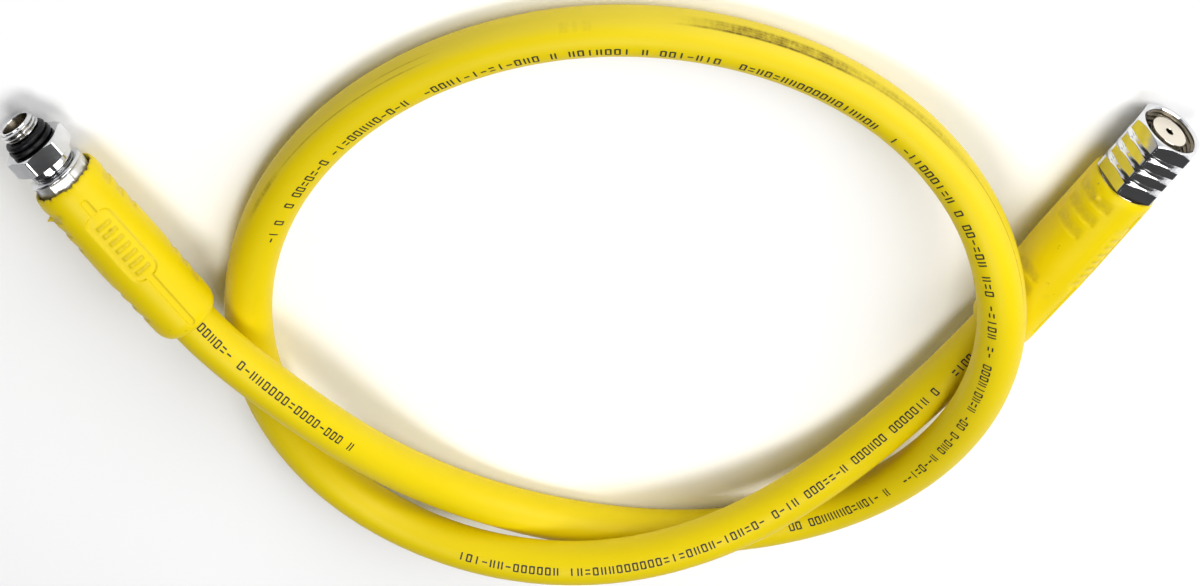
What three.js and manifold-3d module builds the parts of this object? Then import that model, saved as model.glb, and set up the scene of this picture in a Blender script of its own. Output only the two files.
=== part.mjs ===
// A one metre low-pressure breathing-gas hose. A push-in threaded fitting is at one end,
// a free-turning hexagonal union nut at the other, and a moulded sleeve covers each crimp.
// The hose lies in the loose ring in which it was laid down, on the plane z = 0.
import * as THREE from 'three';
import { NURBSCurve } from 'three/addons/curves/NURBSCurve.js';
import { mergeVertices } from 'three/addons/utils/BufferGeometryUtils.js';
import Module from 'manifold-3d';

const wasm = await Module();
wasm.setup();

// Driving dimensions in millimetres. Every radius and length is a size of the real piece.
const GAP = 0.3; // clearance between pieces that fit in, or rest on, each other
const CUT_PAST = 1; // how far a cutter runs on beyond the surface that it opens
const TURNED_SIDES = 28;
const MOULDED_SIDES = 32;
const FINGER_SIDES = 20;
const SEAL_SIDES = 28;
const SEAL_SECTION_SIDES = 8;

// Hose
const HOSE_RADIUS = 6.0;
const HOSE_BORE_RADIUS = 3.175;
const HOSE_SIDES = 12;
const BORE_SIDES = 6;
const HOSE_STEPS = 78;
const ROUTE_DIVISIONS = 4000;

// Control points of the hose's centre line, from the push-in fitting to the union nut.
// The first five and the last five are in line, because the hose leaves each crimp straight.
const ROUTE = [
  [-129.5, 47.4, 9.5], [-121.5, 35.2, 11.5], [-112.8, 21.9, 13.6], [-104.7, 9.4, 15.5],
  [-96.5, -3.0, 17.5], [-78.9, -21.2, 20.2], [-61.8, -44.9, 15.5], [-44.2, -66.0, 8.6],
  [-22.2, -80.2, 6.0], [4.7, -87.5, 6.1], [33.5, -88.7, 6.0], [59.5, -80.9, 6.4],
  [78.5, -62.4, 11.3], [90.8, -37.7, 18.2], [97.5, -10.6, 24.3], [98.7, 16.9, 25.5],
  [91.5, 42.0, 18.7], [74.2, 62.0, 9.9], [50.8, 77.1, 6.0], [24.9, 86.9, 6.0],
  [-2.5, 89.1, 6.1], [-29.4, 82.8, 6.1], [-53.4, 68.8, 6.1], [-72.3, 48.5, 6.1],
  [-84.6, 24.0, 6.0], [-90.1, -2.9, 6.1], [-88.2, -31.0, 6.0], [-78.5, -57.8, 6.0],
  [-60.7, -77.3, 8.8], [-35.2, -85.5, 16.1], [-6.9, -87.0, 19.7], [20.0, -81.4, 19.3],
  [44.5, -70.3, 15.3], [66.1, -54.0, 9.8], [83.8, -30.6, 8.9], [97.7, -8.2, 9.3],
  [104.7, 5.0, 9.3], [111.8, 18.2, 9.3], [119.3, 32.4, 9.3], [125.0, 43.0, 9.3],
];

// Crimp ferrule, one on each end of the hose
const FERRULE_RADIUS = 7.25;
const FERRULE_FLAT_RADIUS = 6.95;
const FERRULE_LENGTH = 19.0;
const FERRULE_END_WALL = 1.6;
const FERRULE_EDGE_RADIUS = 1.4;
const FERRULE_SHOWING = 3.6; // length of the first ferrule in front of its sleeve
const CRIMP_FLATS = 8;
const CRIMP_RIDGE_WIDTH = 0.7;
const CRIMP_RIDGE_HEIGHT = 0.6;

// Barbed tail that both fittings push into the hose
const NECK_RADIUS = 4.6;
const BARB_LENGTH = 15.0;
const BARB_TEETH = 4;
const BARB_DEPTH = 0.35;
const BARB_RISE = 0.55;
const TAIL_BORE_RADIUS = 1.6;

// Push-in fitting, from its mouth to the ferrule
const THREAD_RADIUS = 4.7625;
const THREAD_LENGTH = 2.9;
const THREAD_CHAMFER = 0.6;
const MOUTH_RADIUS = 3.5;
const MOUTH_DEPTH = 1.6;
const FITTING_BORE_RADIUS = 2.5;
const FITTING_BORE_DEPTH = 11.0;
const SEAL_GROOVE_RADIUS = 3.45;
const SEAL_SECTION_RADIUS = 0.9;
const SEAL_PLACE = 4.1;
const BACK_RING_RADIUS = 5.85;
const BACK_RING_WIDTH = 0.8;
const FITTING_HEX_START = 6.6;
const FITTING_HEX_LENGTH = 5.0;
const FITTING_HEX_FLATS = 14.3;
const FITTING_HEX_FACE_RADIUS = 7.35;
const FITTING_HEX_CHAMFER = 0.45;
const COLLAR_RADIUS = 6.4;
const COLLAR_LENGTH = 1.6;
const WAIST_RADIUS = 5.2;
const WAIST_LENGTH = 0.9;

// Union nut and the stem that it turns on, from the nut's mouth to the ferrule
const NUT_FLATS = 16.0;
const NUT_FACE_RADIUS = 8.05;
const NUT_CHAMFER = 0.9;
const NUT_LENGTH = 17.6;
const NUT_MOUTH_RADIUS = 7.4;
const NUT_MOUTH_CHAMFER = 0.9;
const NUT_THREAD_RADIUS = 6.45;
const NUT_SHOULDER = 5.0;
const NUT_GROOVES = [3.5, 7.6, 11.75];
const NUT_GROOVE_WIDTH = 2.1;
const NUT_GROOVE_RADIUS = 7.7;
const STEM_RECESS = 0.55;
const STEM_NOSE_RADIUS = 4.65;
const STEM_NOSE_CHAMFER = 0.3;
const STEM_ORIFICE_RADIUS = 1.0;
const STEM_ORIFICE_DEPTH = 1.5;
const STEM_FLANGE_LENGTH = 2.4;
const STEM_FLANGE_RADIUS = 6.15;
const STEM_NECK_RADIUS = 5.0;
const STEM_GROOVE_RADIUS = 2.9;
const STEM_SEAL_RADIUS = 0.9;
const STEM_SEAL_PLACE = 3.4;

// Moulded sleeve, one on each end, from its mouth to its tail
const NUT_SLEEVE_GAP = 0.4; // running gap between the nut's back and the second sleeve
const SLEEVE_LENGTH = 52.5;
const SLEEVE_MOUTH_RADIUS = 8.75;
const SLEEVE_MIDDLE_RADIUS = 9.0;
const SLEEVE_TAIL_RADIUS = 8.5;
const SLEEVE_MOUTH_ROUND = 2.4;
const SLEEVE_TAIL_ROUND = 3.6;
const SLEEVE_MOUTH_WALL = 0.5;
const PANEL_DEPTH = 0.5;
const PANEL_CURVE_STEPS = 5;
const PANEL_WIDTH = 7.3;
const PANEL_START = 9.0;
const PANEL_END = 31.0;
const SLOT_WIDTH = 1.8;
const SLOT_START = 4.7;
const SLOT_END = 47.7;
const FINGER_WIDTH = 3.2;
const FINGER_FLOOR_WIDTH = 2.2;
const FINGER_DEPTH = 0.65;
const FINGER_HOLLOW = 0.12; // rise of the floor's edges above its middle
const FINGER_MIDDLE_ANGLE = 95;
const FINGER_MARKS = [
  { start: 4.1, span: 75 }, { start: 9.2, span: 64 }, { start: 14.3, span: 53 },
  { start: 30.3, span: 44 }, { start: 34.8, span: 54 }, { start: 39.3, span: 64 },
];
const DIMPLE_PLACE = 36.4;
const DIMPLE_ANGLE = 46;
const DIMPLE_RADIUS = 2.0;
const DIMPLE_SIDES = 16;
const PANEL_ROLL = 34; // degrees from straight up to the middle of each panel

const BORE_CORNER_RADIUS = HOSE_BORE_RADIUS / Math.cos(Math.PI / BORE_SIDES);
const BARB_RADIUS = HOSE_BORE_RADIUS - GAP;

// Materials
function metal(color, roughness) {
  return new THREE.MeshStandardMaterial({ color, roughness, metalness: 1 });
}

function rubber(color, roughness) {
  return new THREE.MeshStandardMaterial({ color, roughness, metalness: 0 });
}

const chrome = metal(0xc9cbd0, 0.12);
const hoseRubber = rubber(0xf0d80c, 0.55);
const sleeveRubber = rubber(0xf2da14, 0.5);
const sealRubber = rubber(0x1a1a1b, 0.4);

// Solids
function solid(geometry) {
  const bare = geometry.index ? geometry.toNonIndexed() : geometry.clone();
  bare.deleteAttribute('normal');
  bare.deleteAttribute('uv');
  const merged = mergeVertices(bare, 1e-5);
  const vertProperties = new Float32Array(merged.attributes.position.array);
  const triVerts = new Uint32Array(merged.index.array);
  return new wasm.Manifold(new wasm.Mesh({ numProp: 3, vertProperties, triVerts }));
}

function geometryOf(manifold) {
  const mesh = manifold.getMesh();
  const geometry = new THREE.BufferGeometry();
  geometry.setAttribute('position', new THREE.BufferAttribute(new Float32Array(mesh.vertProperties), 3));
  geometry.setIndex(new THREE.BufferAttribute(new Uint32Array(mesh.triVerts), 1));
  geometry.computeVertexNormals();
  return geometry;
}

function meshOf(name, geometry, material) {
  const mesh = new THREE.Mesh(geometry, material);
  mesh.name = name;
  return mesh;
}

// A turned solid about Z. The profile is a list of [radius, station] from its lowest station
// up the outside, and it is closed by the axis or, for a ring, by going back down the bore.
function turned(profile, sides = TURNED_SIDES) {
  const points = profile.map(([radius, station]) => new THREE.Vector2(radius, station));
  if (points[0].distanceTo(points[points.length - 1]) > 0 && points[0].x > 0) {
    points.push(points[0].clone());
  }
  return new THREE.LatheGeometry(points, sides).rotateX(Math.PI / 2);
}

// Points of a circular arc in a profile, between two angles in degrees.
function arc(centreRadius, centreStation, radius, from, to, steps) {
  const points = [];
  for (let i = 0; i <= steps; i += 1) {
    const angle = THREE.MathUtils.degToRad(from + ((to - from) * i) / steps);
    points.push([centreRadius + radius * Math.cos(angle), centreStation + radius * Math.sin(angle)]);
  }
  return points;
}

// A hexagonal bar whose ends are turned to a round face, one flat facing down at zero roll.
function hexBar({ flats, start, length, faceRadius, chamfer, roll }) {
  const corner = flats / Math.sqrt(3);
  const outline = new THREE.Shape();
  for (let i = 0; i < 6; i += 1) {
    const angle = (i * Math.PI) / 3 + roll;
    const x = corner * Math.cos(angle);
    const y = corner * Math.sin(angle);
    if (i === 0) outline.moveTo(x, y);
    else outline.lineTo(x, y);
  }
  outline.closePath();
  const bar = new THREE.ExtrudeGeometry(outline, { depth: length, bevelEnabled: false, steps: 1 });
  const outer = corner + CUT_PAST;
  const rise = ((outer - faceRadius) * chamfer) / (corner - faceRadius);
  const envelope = turned([
    [0, start],
    [faceRadius, start],
    [outer, start + rise],
    [outer, start + length - rise],
    [faceRadius, start + length],
    [0, start + length],
  ]);
  return solid(bar.translate(0, 0, start)).intersect(solid(envelope));
}

// Outline of the barbed tail inside the hose, from where the hose starts to the tip.
function barbProfile(hoseStart) {
  const points = [];
  const pitch = BARB_LENGTH / BARB_TEETH;
  for (let i = 0; i < BARB_TEETH; i += 1) {
    points.push([BARB_RADIUS - BARB_DEPTH, hoseStart + GAP + i * pitch]);
    points.push([BARB_RADIUS, hoseStart + GAP + i * pitch + BARB_RISE]);
  }
  points.push([BARB_RADIUS - BARB_DEPTH, hoseStart + GAP + BARB_LENGTH]);
  return points;
}

// A sealing ring of round section about Z.
function ringGeometry(innerRadius, sectionRadius, station) {
  const last = 360 - 360 / SEAL_SECTION_SIDES;
  const centre = innerRadius + sectionRadius;
  const section = arc(centre, station, sectionRadius, 0, last, SEAL_SECTION_SIDES - 1);
  return turned(section, SEAL_SIDES);
}

// Crimp ferrule: a thimble over the end of the hose, squeezed into flats with ridges between.
function ferruleGeometry(start) {
  const wallEnd = start + FERRULE_END_WALL;
  const end = start + FERRULE_LENGTH;
  const edge = arc(FERRULE_RADIUS - FERRULE_EDGE_RADIUS, wallEnd, FERRULE_EDGE_RADIUS, -90, 0, 4);
  const body = turned([[0, wallEnd - FERRULE_EDGE_RADIUS], ...edge, [FERRULE_RADIUS, end], [0, end]]);
  const crimp = [];
  const ridgeAngle = CRIMP_RIDGE_WIDTH / FERRULE_RADIUS;
  const pitch = (2 * Math.PI) / CRIMP_FLATS;
  const crestRadius = FERRULE_FLAT_RADIUS + CRIMP_RIDGE_HEIGHT;
  for (let i = 0; i < CRIMP_FLATS; i += 1) {
    const ridge = i * pitch + Math.PI / 2;
    const corners = [
      [FERRULE_FLAT_RADIUS, ridge - ridgeAngle],
      [crestRadius, ridge - ridgeAngle / 2],
      [crestRadius, ridge + ridgeAngle / 2],
      [FERRULE_FLAT_RADIUS, ridge + ridgeAngle],
      [FERRULE_FLAT_RADIUS, ridge + pitch / 3],
      [FERRULE_FLAT_RADIUS, ridge + (2 * pitch) / 3],
    ];
    for (const [radius, angle] of corners) {
      crimp.push(new THREE.Vector2(radius * Math.cos(angle), radius * Math.sin(angle)));
    }
  }
  const outline = new THREE.Shape(crimp);
  const depth = FERRULE_LENGTH + 2 * CUT_PAST;
  const squeezed = new THREE.ExtrudeGeometry(outline, { depth, bevelEnabled: false, steps: 1 });
  const holeRadius = NECK_RADIUS + GAP;
  const boreRadius = HOSE_RADIUS + GAP;
  const bore = turned([
    [0, start - CUT_PAST],
    [holeRadius, start - CUT_PAST],
    [holeRadius, wallEnd],
    [boreRadius, wallEnd],
    [boreRadius, end + CUT_PAST],
    [0, end + CUT_PAST],
  ]);
  return geometryOf(
    solid(body).intersect(solid(squeezed.translate(0, 0, start - CUT_PAST))).subtract(solid(bore)),
  );
}

// Outside of the sleeve at a radius reduced by depth, as a solid of revolution.
function sleeveSkin(start, depth, inset) {
  const mouthCentre = start + SLEEVE_MOUTH_ROUND;
  const end = start + SLEEVE_LENGTH;
  const tailCentre = end - SLEEVE_TAIL_ROUND;
  const middle = start + SLEEVE_LENGTH / 2;
  const mouthEdge = FERRULE_RADIUS + GAP + SLEEVE_MOUTH_WALL;
  const tailEdge = HOSE_RADIUS + GAP + SLEEVE_MOUTH_WALL;
  const points = [[0, start + inset]];
  for (let i = 0; i <= 4; i += 1) {
    const angle = (i * Math.PI) / 8;
    const radius = mouthEdge + (SLEEVE_MOUTH_RADIUS - mouthEdge) * Math.sin(angle);
    const station = mouthCentre - SLEEVE_MOUTH_ROUND * Math.cos(angle);
    points.push([radius - depth, Math.max(station, start + inset)]);
  }
  points.push([SLEEVE_MIDDLE_RADIUS - depth, middle]);
  for (let i = 0; i <= 5; i += 1) {
    const angle = (i * Math.PI) / 10;
    const radius = tailEdge + (SLEEVE_TAIL_RADIUS - tailEdge) * Math.cos(angle);
    const station = tailCentre + SLEEVE_TAIL_ROUND * Math.sin(angle);
    points.push([radius - depth, Math.min(station, end - inset)]);
  }
  points.push([0, end - inset]);
  return turned(points, MOULDED_SIDES);
}

// Panel with a short slot before it and a long one after it, as one outline across the sleeve.
function panelOutline() {
  const slot = SLOT_WIDTH / 2;
  const half = PANEL_WIDTH / 2;
  const shape = new THREE.Shape();
  shape.moveTo(slot, SLOT_START + slot);
  shape.lineTo(slot, PANEL_START);
  shape.quadraticCurveTo(half, PANEL_START, half, PANEL_START + half - slot);
  shape.lineTo(half, PANEL_END - half + slot);
  shape.quadraticCurveTo(half, PANEL_END, slot, PANEL_END);
  shape.lineTo(slot, SLOT_END - slot);
  shape.absarc(0, SLOT_END - slot, slot, 0, Math.PI, false);
  shape.lineTo(-slot, PANEL_END);
  shape.quadraticCurveTo(-half, PANEL_END, -half, PANEL_END - half + slot);
  shape.lineTo(-half, PANEL_START + half - slot);
  shape.quadraticCurveTo(-half, PANEL_START, -slot, PANEL_START);
  shape.lineTo(-slot, SLOT_START + slot);
  shape.absarc(0, SLOT_START + slot, slot, Math.PI, 2 * Math.PI, false);
  return shape;
}

// A finger recess: a sector of a ring with a hollow, rounded floor.
function fingerCutter(start, mark, side) {
  const middle = start + mark.start + FINGER_WIDTH / 2;
  const reach = SLEEVE_MIDDLE_RADIUS + CUT_PAST;
  const floor = SLEEVE_MIDDLE_RADIUS - FINGER_DEPTH;
  const half = FINGER_WIDTH / 2;
  const floorHalf = FINGER_FLOOR_WIDTH / 2;
  const ring = turned([
    [reach, middle - half],
    [reach, middle + half],
    [SLEEVE_MIDDLE_RADIUS, middle + half],
    [floor + FINGER_HOLLOW, middle + floorHalf],
    [floor, middle],
    [floor + FINGER_HOLLOW, middle - floorHalf],
    [SLEEVE_MIDDLE_RADIUS, middle - half],
  ], FINGER_SIDES);
  const centre = THREE.MathUtils.degToRad(90 - side * FINGER_MIDDLE_ANGLE);
  const spread = THREE.MathUtils.degToRad(mark.span / 2);
  const far = (reach + CUT_PAST) / Math.cos(spread);
  const sector = new THREE.Shape();
  sector.moveTo(0, 0);
  sector.lineTo(far * Math.cos(centre - spread), far * Math.sin(centre - spread));
  sector.lineTo(far * Math.cos(centre + spread), far * Math.sin(centre + spread));
  sector.closePath();
  const depth = FINGER_WIDTH + 2 * CUT_PAST;
  const wedge = new THREE.ExtrudeGeometry(sector, { depth, bevelEnabled: false, steps: 1 });
  return solid(ring).intersect(solid(wedge.translate(0, 0, middle - depth / 2)));
}

// Moulded sleeve with a recessed panel on one side and finger recesses on its two flanks.
function sleeveGeometry(start, ferruleStart) {
  const reach = SLEEVE_MIDDLE_RADIUS + CUT_PAST;
  const outline = panelOutline();
  const panel = new THREE.ExtrudeGeometry(outline, {
    depth: reach,
    bevelEnabled: false,
    steps: 1,
    curveSegments: PANEL_CURVE_STEPS,
  });
  // The outline lies across X and along the sleeve, and is pushed out through the skin.
  const panelCutter = solid(panel.rotateX(Math.PI / 2).rotateZ(Math.PI));
  const placed = panelCutter.translate([0, 0, start]);
  const dimple = new THREE.CylinderGeometry(DIMPLE_RADIUS, DIMPLE_RADIUS, reach, DIMPLE_SIDES);
  dimple.translate(0, reach / 2, 0);
  let marks = placed;
  for (const side of [-1, 1]) {
    const turn = THREE.MathUtils.degToRad(-side * DIMPLE_ANGLE);
    const cutter = dimple.clone().rotateZ(turn).translate(0, 0, start + DIMPLE_PLACE);
    marks = marks.add(solid(cutter));
  }
  const core = solid(sleeveSkin(start, PANEL_DEPTH, SLEEVE_MOUTH_WALL));
  let body = solid(sleeveSkin(start, 0, 0)).subtract(marks).add(core);
  for (const mark of FINGER_MARKS) {
    for (const side of [-1, 1]) {
      body = body.subtract(fingerCutter(start, mark, side));
    }
  }
  const end = start + SLEEVE_LENGTH;
  const mouthBore = FERRULE_RADIUS + GAP;
  const tailBore = HOSE_RADIUS + GAP;
  const shoulder = ferruleStart + FERRULE_LENGTH + 2 * GAP;
  const bore = turned([
    [0, start - CUT_PAST],
    [mouthBore, start - CUT_PAST],
    [mouthBore, shoulder],
    [tailBore, shoulder + mouthBore - tailBore],
    [tailBore, end + CUT_PAST],
    [0, end + CUT_PAST],
  ], MOULDED_SIDES);
  return geometryOf(body.subtract(solid(bore)));
}

// Stations, from each mouth, that follow from the driving dimensions
const HEX_END = FITTING_HEX_START + FITTING_HEX_LENGTH;
const COLLAR_END = HEX_END + COLLAR_LENGTH;
const WAIST_END = COLLAR_END + WAIST_LENGTH;
const FIRST_FERRULE_START = WAIST_END + GAP;
const FIRST_HOSE_START = FIRST_FERRULE_START + FERRULE_END_WALL + GAP;
const FIRST_SLEEVE_START = FIRST_FERRULE_START + FERRULE_SHOWING;
const SECOND_SLEEVE_START = NUT_LENGTH + NUT_SLEEVE_GAP;
const SECOND_FERRULE_START = SECOND_SLEEVE_START;
const SECOND_HOSE_START = SECOND_FERRULE_START + FERRULE_END_WALL + GAP;
const FLANGE_END = NUT_LENGTH - NUT_SHOULDER - GAP;
const FLANGE_START = FLANGE_END - STEM_FLANGE_LENGTH;

// Push-in fitting: thread, seal groove, hexagon, collar, waist and barbed tail in one piece
function fittingGeometry() {
  const barbEnd = FIRST_HOSE_START + BARB_LENGTH;
  const hexMiddle = FITTING_HEX_START + FITTING_HEX_LENGTH / 2;
  const outside = turned([
    [0, 0],
    [THREAD_RADIUS - THREAD_CHAMFER, 0],
    [THREAD_RADIUS, THREAD_CHAMFER],
    [THREAD_RADIUS, THREAD_LENGTH],
    [SEAL_GROOVE_RADIUS, THREAD_LENGTH],
    [SEAL_GROOVE_RADIUS, hexMiddle],
    [COLLAR_RADIUS, hexMiddle],
    [COLLAR_RADIUS, COLLAR_END],
    [WAIST_RADIUS, COLLAR_END],
    [WAIST_RADIUS, WAIST_END],
    [NECK_RADIUS, WAIST_END],
    [NECK_RADIUS, FIRST_HOSE_START - GAP],
    ...barbProfile(FIRST_HOSE_START - GAP),
    [0, barbEnd],
  ]);
  const hex = hexBar({
    flats: FITTING_HEX_FLATS,
    start: FITTING_HEX_START,
    length: FITTING_HEX_LENGTH,
    faceRadius: FITTING_HEX_FACE_RADIUS,
    chamfer: FITTING_HEX_CHAMFER,
    roll: Math.PI / 6,
  });
  const bore = turned([
    [0, -CUT_PAST],
    [MOUTH_RADIUS, -CUT_PAST],
    [MOUTH_RADIUS, 0],
    [FITTING_BORE_RADIUS, MOUTH_DEPTH],
    [FITTING_BORE_RADIUS, FITTING_BORE_DEPTH],
    [TAIL_BORE_RADIUS, FITTING_BORE_DEPTH + FITTING_BORE_RADIUS - TAIL_BORE_RADIUS],
    [TAIL_BORE_RADIUS, barbEnd + CUT_PAST],
    [0, barbEnd + CUT_PAST],
  ]);
  return geometryOf(solid(outside).add(hex).subtract(solid(bore)));
}

// Square-edged rubber ring against the hexagon's front face
function backRingGeometry() {
  const inner = SEAL_GROOVE_RADIUS + GAP;
  const back = FITTING_HEX_START - GAP;
  const front = back - BACK_RING_WIDTH;
  const edge = BACK_RING_WIDTH / 4;
  return turned([
    [inner, front],
    [BACK_RING_RADIUS - edge, front],
    [BACK_RING_RADIUS, front + edge],
    [BACK_RING_RADIUS, back - edge],
    [BACK_RING_RADIUS - edge, back],
    [inner, back],
  ], SEAL_SIDES);
}

// Union nut: a grooved hexagon with a threaded mouth and an inner shoulder at its back
function nutGeometry() {
  const hex = hexBar({
    flats: NUT_FLATS,
    start: 0,
    length: NUT_LENGTH,
    faceRadius: NUT_FACE_RADIUS,
    chamfer: NUT_CHAMFER,
    roll: 0,
  });
  const corner = NUT_FLATS / Math.sqrt(3);
  const reach = corner + CUT_PAST;
  const wall = NUT_GROOVE_RADIUS + (corner - NUT_GROOVE_RADIUS) / 3;
  let grooves = null;
  for (const place of NUT_GROOVES) {
    const end = place + NUT_GROOVE_WIDTH;
    const ring = solid(turned([
      [reach, place],
      [reach, end],
      [wall, end],
      [NUT_GROOVE_RADIUS, end - NUT_GROOVE_WIDTH / 4],
      [NUT_GROOVE_RADIUS, place + NUT_GROOVE_WIDTH / 4],
      [wall, place],
    ]));
    grooves = grooves ? grooves.add(ring) : ring;
  }
  const bore = turned([
    [0, -CUT_PAST],
    [NUT_MOUTH_RADIUS, -CUT_PAST],
    [NUT_MOUTH_RADIUS, 0],
    [NUT_THREAD_RADIUS, NUT_MOUTH_CHAMFER],
    [NUT_THREAD_RADIUS, NUT_LENGTH - NUT_SHOULDER],
    [STEM_NECK_RADIUS + GAP, NUT_LENGTH - NUT_SHOULDER],
    [STEM_NECK_RADIUS + GAP, NUT_LENGTH + CUT_PAST],
    [0, NUT_LENGTH + CUT_PAST],
  ]);
  return geometryOf(hex.subtract(grooves).subtract(solid(bore)));
}

// Stem inside the nut: sealing nose, flange that holds the nut, neck and barbed tail
function stemGeometry() {
  const grooveHalf = STEM_SEAL_RADIUS + GAP;
  const barbEnd = SECOND_HOSE_START + BARB_LENGTH;
  const outside = turned([
    [0, STEM_RECESS],
    [STEM_NOSE_RADIUS - STEM_NOSE_CHAMFER, STEM_RECESS],
    [STEM_NOSE_RADIUS, STEM_RECESS + STEM_NOSE_CHAMFER],
    [STEM_NOSE_RADIUS, STEM_SEAL_PLACE - grooveHalf],
    [STEM_GROOVE_RADIUS, STEM_SEAL_PLACE - grooveHalf],
    [STEM_GROOVE_RADIUS, STEM_SEAL_PLACE + grooveHalf],
    [STEM_NOSE_RADIUS, STEM_SEAL_PLACE + grooveHalf],
    [STEM_NOSE_RADIUS, FLANGE_START],
    [STEM_FLANGE_RADIUS, FLANGE_START],
    [STEM_FLANGE_RADIUS, FLANGE_END],
    [STEM_NECK_RADIUS, FLANGE_END],
    [STEM_NECK_RADIUS, SECOND_FERRULE_START - GAP],
    [NECK_RADIUS, SECOND_FERRULE_START - GAP],
    [NECK_RADIUS, SECOND_HOSE_START - GAP],
    ...barbProfile(SECOND_HOSE_START - GAP),
    [0, barbEnd],
  ]);
  const bore = turned([
    [0, STEM_RECESS - CUT_PAST],
    [STEM_ORIFICE_RADIUS, STEM_RECESS - CUT_PAST],
    [STEM_ORIFICE_RADIUS, STEM_RECESS + STEM_ORIFICE_DEPTH],
    [TAIL_BORE_RADIUS, STEM_RECESS + STEM_ORIFICE_DEPTH],
    [TAIL_BORE_RADIUS, barbEnd + CUT_PAST],
    [0, barbEnd + CUT_PAST],
  ]);
  return geometryOf(solid(outside).subtract(solid(bore)));
}

// Hose: a round tube along a clamped cubic curve through the route
function hoseCurve() {
  const degree = 3;
  const spans = ROUTE.length - degree;
  const knots = [];
  for (let i = 0; i < ROUTE.length + degree + 1; i += 1) {
    knots.push(Math.min(Math.max(i - degree, 0), spans));
  }
  const points = ROUTE.map(([x, y, z]) => new THREE.Vector4(x, y, z, 1));
  const curve = new NURBSCurve(degree, knots, points);
  curve.arcLengthDivisions = ROUTE_DIVISIONS;
  return curve;
}

function regularPolygon(path, radius, sides) {
  for (let i = 0; i < sides; i += 1) {
    const angle = ((i + 0.5) * 2 * Math.PI) / sides;
    const x = radius * Math.cos(angle);
    const y = radius * Math.sin(angle);
    if (i === 0) path.moveTo(x, y);
    else path.lineTo(x, y);
  }
  path.closePath();
  return path;
}

function hoseGeometry(curve) {
  const section = regularPolygon(new THREE.Shape(), HOSE_RADIUS, HOSE_SIDES);
  section.holes.push(regularPolygon(new THREE.Path(), BORE_CORNER_RADIUS, BORE_SIDES));
  return new THREE.ExtrudeGeometry(section, { steps: HOSE_STEPS, extrudePath: curve });
}

// An end of the assembly: Z runs from its mouth into the hose and Y is as near up as it can be.
function endGroup(hoseEnd, intoHose, hoseStart) {
  const along = intoHose.clone().normalize();
  const up = new THREE.Vector3(0, 0, 1).addScaledVector(along, -along.z).normalize();
  const across = new THREE.Vector3().crossVectors(up, along);
  const group = new THREE.Group();
  group.setRotationFromMatrix(new THREE.Matrix4().makeBasis(across, up, along));
  group.position.copy(hoseEnd).addScaledVector(along, -hoseStart);
  return group;
}

const curve = hoseCurve();
const point = (index) => new THREE.Vector3(...ROUTE.at(index));

const firstEnd = endGroup(point(0), point(4).sub(point(0)), FIRST_HOSE_START);
const firstSleeve = meshOf(
  'first_stage_sleeve', sleeveGeometry(FIRST_SLEEVE_START, FIRST_FERRULE_START), sleeveRubber,
);
firstSleeve.rotation.z = -THREE.MathUtils.degToRad(PANEL_ROLL);
firstEnd.add(
  meshOf('first_stage_fitting', fittingGeometry(), chrome),
  meshOf('fitting_o_ring', ringGeometry(SEAL_GROOVE_RADIUS + GAP, SEAL_SECTION_RADIUS, SEAL_PLACE), sealRubber),
  meshOf('fitting_back_ring', backRingGeometry(), sealRubber),
  meshOf('first_stage_ferrule', ferruleGeometry(FIRST_FERRULE_START), chrome),
  firstSleeve,
);

const secondEnd = endGroup(point(-1), point(-5).sub(point(-1)), SECOND_HOSE_START);
const secondSleeve = meshOf(
  'second_stage_sleeve', sleeveGeometry(SECOND_SLEEVE_START, SECOND_FERRULE_START), sleeveRubber,
);
secondSleeve.rotation.z = -THREE.MathUtils.degToRad(PANEL_ROLL);
secondEnd.add(
  meshOf('swivel_nut', nutGeometry(), chrome),
  meshOf('swivel_stem', stemGeometry(), chrome),
  meshOf('stem_o_ring', ringGeometry(STEM_GROOVE_RADIUS + GAP, STEM_SEAL_RADIUS, STEM_SEAL_PLACE), sealRubber),
  meshOf('second_stage_ferrule', ferruleGeometry(SECOND_FERRULE_START), chrome),
  secondSleeve,
);

const gasHose = new THREE.Group();
gasHose.add(meshOf('hose', hoseGeometry(curve), hoseRubber), firstEnd, secondEnd);

export default gasHose;
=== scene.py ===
# %% [markdown]
# # A yellow breathing-gas hose
#
# This notebook dresses a rubber hose with a chromed fitting at each end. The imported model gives
# every size and place; here each part gets its real surface. All lengths are in metres.

import math

import bpy
import numpy as np
from mathutils import Matrix, Vector


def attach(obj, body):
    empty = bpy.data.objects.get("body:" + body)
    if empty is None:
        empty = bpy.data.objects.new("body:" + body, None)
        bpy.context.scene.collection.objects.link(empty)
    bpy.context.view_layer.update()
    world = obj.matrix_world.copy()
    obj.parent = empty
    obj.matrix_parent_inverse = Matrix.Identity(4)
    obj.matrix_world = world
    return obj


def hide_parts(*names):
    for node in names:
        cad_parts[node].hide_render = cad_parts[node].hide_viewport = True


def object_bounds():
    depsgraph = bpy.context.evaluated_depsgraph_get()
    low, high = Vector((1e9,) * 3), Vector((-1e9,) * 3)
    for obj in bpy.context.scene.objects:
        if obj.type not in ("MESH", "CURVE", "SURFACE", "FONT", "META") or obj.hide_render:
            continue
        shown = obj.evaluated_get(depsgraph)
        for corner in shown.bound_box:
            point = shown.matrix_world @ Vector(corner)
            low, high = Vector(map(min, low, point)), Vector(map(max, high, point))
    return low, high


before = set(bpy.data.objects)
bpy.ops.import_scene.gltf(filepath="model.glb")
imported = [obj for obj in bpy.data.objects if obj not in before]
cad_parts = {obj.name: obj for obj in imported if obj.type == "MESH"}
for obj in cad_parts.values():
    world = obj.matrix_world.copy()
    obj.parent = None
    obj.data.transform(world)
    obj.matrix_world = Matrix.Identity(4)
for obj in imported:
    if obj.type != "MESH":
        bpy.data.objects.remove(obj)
cad_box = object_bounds()

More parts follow.
